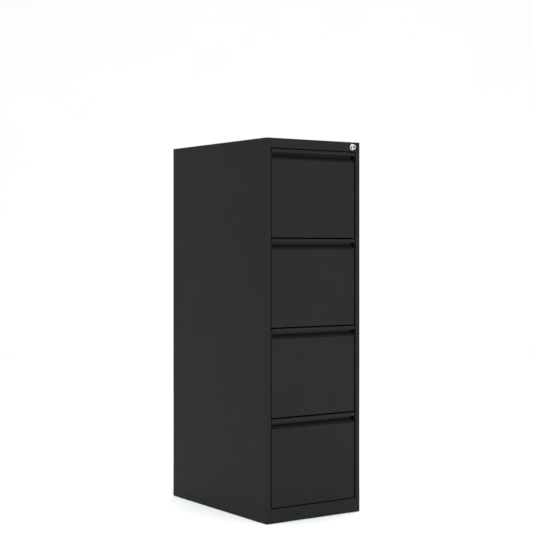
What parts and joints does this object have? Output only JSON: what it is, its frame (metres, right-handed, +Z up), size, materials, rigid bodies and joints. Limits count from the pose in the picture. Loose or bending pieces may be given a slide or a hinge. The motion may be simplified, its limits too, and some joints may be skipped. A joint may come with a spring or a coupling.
{
  "type": "filing cabinet",
  "caption": "Tall narrow charcoal steel vertical filing cabinet with stacked full-width drawers, recessed finger pulls, full-extension slides and a push-in gang lock.",
  "frame": {"origin": "on the floor, under the centre of the overall box, lock included", "axes": "+Z up, +X to the right as seen from the front, the front faces -Y and the drawers open along -Y"},
  "size_m": [0.403, 0.642, 1.321],
  "materials": {
    "charcoal_powder_coat": "matte powder coat",
    "zinc_plated_steel": "bright zinc plating",
    "cage_steel": "plain",
    "spring_steel": "drawn wire",
    "lock_chrome": "polished",
    "lock_core_nickel": "nickel",
    "foot_plastic": "moulded",
    "bumper_rubber": "matte"
  },
  "bodies": {
    "cabinet": {"left_side_panel": "charcoal_powder_coat", "right_side_panel": "charcoal_powder_coat", "header_rail": "charcoal_powder_coat", "plinth_rail": "charcoal_powder_coat", "top_panel": "charcoal_powder_coat", "rear_panel": "charcoal_powder_coat", "base_pan": "charcoal_powder_coat", "levelling_feet": "foot_plastic", "foot_nuts": "zinc_plated_steel", "slide_uprights": "charcoal_powder_coat", "cabinet_slide_members": "zinc_plated_steel", "lock_housing": "lock_chrome", "lock_nut": "zinc_plated_steel", "lock_bar_guides": "zinc_plated_steel", "rear_bumpers": "bumper_rubber", "lock_spring": "spring_steel"},
    "lock_bar": {"lock_bar": "zinc_plated_steel"},
    "lock_plunger": {"lock_plunger": "lock_chrome", "lock_cross_pin": "zinc_plated_steel"},
    "lock_core": {"lock_core": "lock_core_nickel"},
    "drawer_1": {"drawer_1_front": "charcoal_powder_coat", "drawer_1_liner": "charcoal_powder_coat", "drawer_1_body": "charcoal_powder_coat", "drawer_1_back": "charcoal_powder_coat", "drawer_1_catch": "zinc_plated_steel", "drawer_1_screws": "zinc_plated_steel", "drawer_1_slide_members": "zinc_plated_steel"},
    "drawer_1_middle_members": {"drawer_1_middle_members": "zinc_plated_steel"},
    "drawer_1_outer_cages": {"drawer_1_outer_cages": "cage_steel"},
    "drawer_1_inner_cages": {"drawer_1_inner_cages": "cage_steel"},
    "drawer_2": {"drawer_2_front": "charcoal_powder_coat", "drawer_2_liner": "charcoal_powder_coat", "drawer_2_body": "charcoal_powder_coat", "drawer_2_back": "charcoal_powder_coat", "drawer_2_catch": "zinc_plated_steel", "drawer_2_screws": "zinc_plated_steel", "drawer_2_slide_members": "zinc_plated_steel"},
    "drawer_2_middle_members": {"drawer_2_middle_members": "zinc_plated_steel"},
    "drawer_2_outer_cages": {"drawer_2_outer_cages": "cage_steel"},
    "drawer_2_inner_cages": {"drawer_2_inner_cages": "cage_steel"},
    "drawer_3": {"drawer_3_front": "charcoal_powder_coat", "drawer_3_liner": "charcoal_powder_coat", "drawer_3_body": "charcoal_powder_coat", "drawer_3_back": "charcoal_powder_coat", "drawer_3_catch": "zinc_plated_steel", "drawer_3_screws": "zinc_plated_steel", "drawer_3_slide_members": "zinc_plated_steel"},
    "drawer_3_middle_members": {"drawer_3_middle_members": "zinc_plated_steel"},
    "drawer_3_outer_cages": {"drawer_3_outer_cages": "cage_steel"},
    "drawer_3_inner_cages": {"drawer_3_inner_cages": "cage_steel"},
    "drawer_4": {"drawer_4_front": "charcoal_powder_coat", "drawer_4_liner": "charcoal_powder_coat", "drawer_4_body": "charcoal_powder_coat", "drawer_4_back": "charcoal_powder_coat", "drawer_4_catch": "zinc_plated_steel", "drawer_4_screws": "zinc_plated_steel", "drawer_4_slide_members": "zinc_plated_steel"},
    "drawer_4_middle_members": {"drawer_4_middle_members": "zinc_plated_steel"},
    "drawer_4_outer_cages": {"drawer_4_outer_cages": "cage_steel"},
    "drawer_4_inner_cages": {"drawer_4_inner_cages": "cage_steel"}
  },
  "joints": [
    {"name": "drawer_1_slide", "type": "slide", "parent": "cabinet", "child": "drawer_1", "axis": [0, -1, 0], "range_m": [0, 0.552]},
    {"name": "drawer_1_middle_members_slide", "type": "slide", "parent": "cabinet", "child": "drawer_1_middle_members", "axis": [0, -1, 0], "range_m": [0, 0.276]},
    {"name": "drawer_1_outer_cages_slide", "type": "slide", "parent": "cabinet", "child": "drawer_1_outer_cages", "axis": [0, -1, 0], "range_m": [0, 0.138]},
    {"name": "drawer_1_inner_cages_slide", "type": "slide", "parent": "cabinet", "child": "drawer_1_inner_cages", "axis": [0, -1, 0], "range_m": [0, 0.414]},
    {"name": "drawer_2_slide", "type": "slide", "parent": "cabinet", "child": "drawer_2", "axis": [0, -1, 0], "range_m": [0, 0.552]},
    {"name": "drawer_2_middle_members_slide", "type": "slide", "parent": "cabinet", "child": "drawer_2_middle_members", "axis": [0, -1, 0], "range_m": [0, 0.276]},
    {"name": "drawer_2_outer_cages_slide", "type": "slide", "parent": "cabinet", "child": "drawer_2_outer_cages", "axis": [0, -1, 0], "range_m": [0, 0.138]},
    {"name": "drawer_2_inner_cages_slide", "type": "slide", "parent": "cabinet", "child": "drawer_2_inner_cages", "axis": [0, -1, 0], "range_m": [0, 0.414]},
    {"name": "drawer_3_slide", "type": "slide", "parent": "cabinet", "child": "drawer_3", "axis": [0, -1, 0], "range_m": [0, 0.552]},
    {"name": "drawer_3_middle_members_slide", "type": "slide", "parent": "cabinet", "child": "drawer_3_middle_members", "axis": [0, -1, 0], "range_m": [0, 0.276]},
    {"name": "drawer_3_outer_cages_slide", "type": "slide", "parent": "cabinet", "child": "drawer_3_outer_cages", "axis": [0, -1, 0], "range_m": [0, 0.138]},
    {"name": "drawer_3_inner_cages_slide", "type": "slide", "parent": "cabinet", "child": "drawer_3_inner_cages", "axis": [0, -1, 0], "range_m": [0, 0.414]},
    {"name": "drawer_4_slide", "type": "slide", "parent": "cabinet", "child": "drawer_4", "axis": [0, -1, 0], "range_m": [0, 0.552]},
    {"name": "drawer_4_middle_members_slide", "type": "slide", "parent": "cabinet", "child": "drawer_4_middle_members", "axis": [0, -1, 0], "range_m": [0, 0.276]},
    {"name": "drawer_4_outer_cages_slide", "type": "slide", "parent": "cabinet", "child": "drawer_4_outer_cages", "axis": [0, -1, 0], "range_m": [0, 0.138]},
    {"name": "drawer_4_inner_cages_slide", "type": "slide", "parent": "cabinet", "child": "drawer_4_inner_cages", "axis": [0, -1, 0], "range_m": [0, 0.414]},
    {"name": "lock_bar_lift", "type": "slide", "parent": "cabinet", "child": "lock_bar", "axis": [0, 0, 1], "range_m": [0, 0.007]},
    {"name": "lock_plunger_push", "type": "slide", "parent": "cabinet", "child": "lock_plunger", "axis": [0, 1, 0], "range_m": [0, 0.007], "stiffness_N_per_m": 300, "springref_m": -0.01, "deforming": ["lock_spring"]},
    {"name": "lock_core_turn", "type": "hinge", "parent": "lock_plunger", "child": "lock_core", "pos_m": [0.1684, -0.321, 1.3035], "axis": [0, 1, 0], "range_deg": [0, 90]}
  ],
  "couplings": [
    {"joint": "drawer_1_middle_members_slide", "follows": "drawer_1_slide", "ratio": 0.5},
    {"joint": "drawer_1_outer_cages_slide", "follows": "drawer_1_slide", "ratio": 0.25},
    {"joint": "drawer_1_inner_cages_slide", "follows": "drawer_1_slide", "ratio": 0.75},
    {"joint": "drawer_2_middle_members_slide", "follows": "drawer_2_slide", "ratio": 0.5},
    {"joint": "drawer_2_outer_cages_slide", "follows": "drawer_2_slide", "ratio": 0.25},
    {"joint": "drawer_2_inner_cages_slide", "follows": "drawer_2_slide", "ratio": 0.75},
    {"joint": "drawer_3_middle_members_slide", "follows": "drawer_3_slide", "ratio": 0.5},
    {"joint": "drawer_3_outer_cages_slide", "follows": "drawer_3_slide", "ratio": 0.25},
    {"joint": "drawer_3_inner_cages_slide", "follows": "drawer_3_slide", "ratio": 0.75},
    {"joint": "drawer_4_middle_members_slide", "follows": "drawer_4_slide", "ratio": 0.5},
    {"joint": "drawer_4_outer_cages_slide", "follows": "drawer_4_slide", "ratio": 0.25},
    {"joint": "drawer_4_inner_cages_slide", "follows": "drawer_4_slide", "ratio": 0.75},
    {"joint": "lock_plunger_push", "follows": "lock_bar_lift", "ratio": 1}
  ]
}
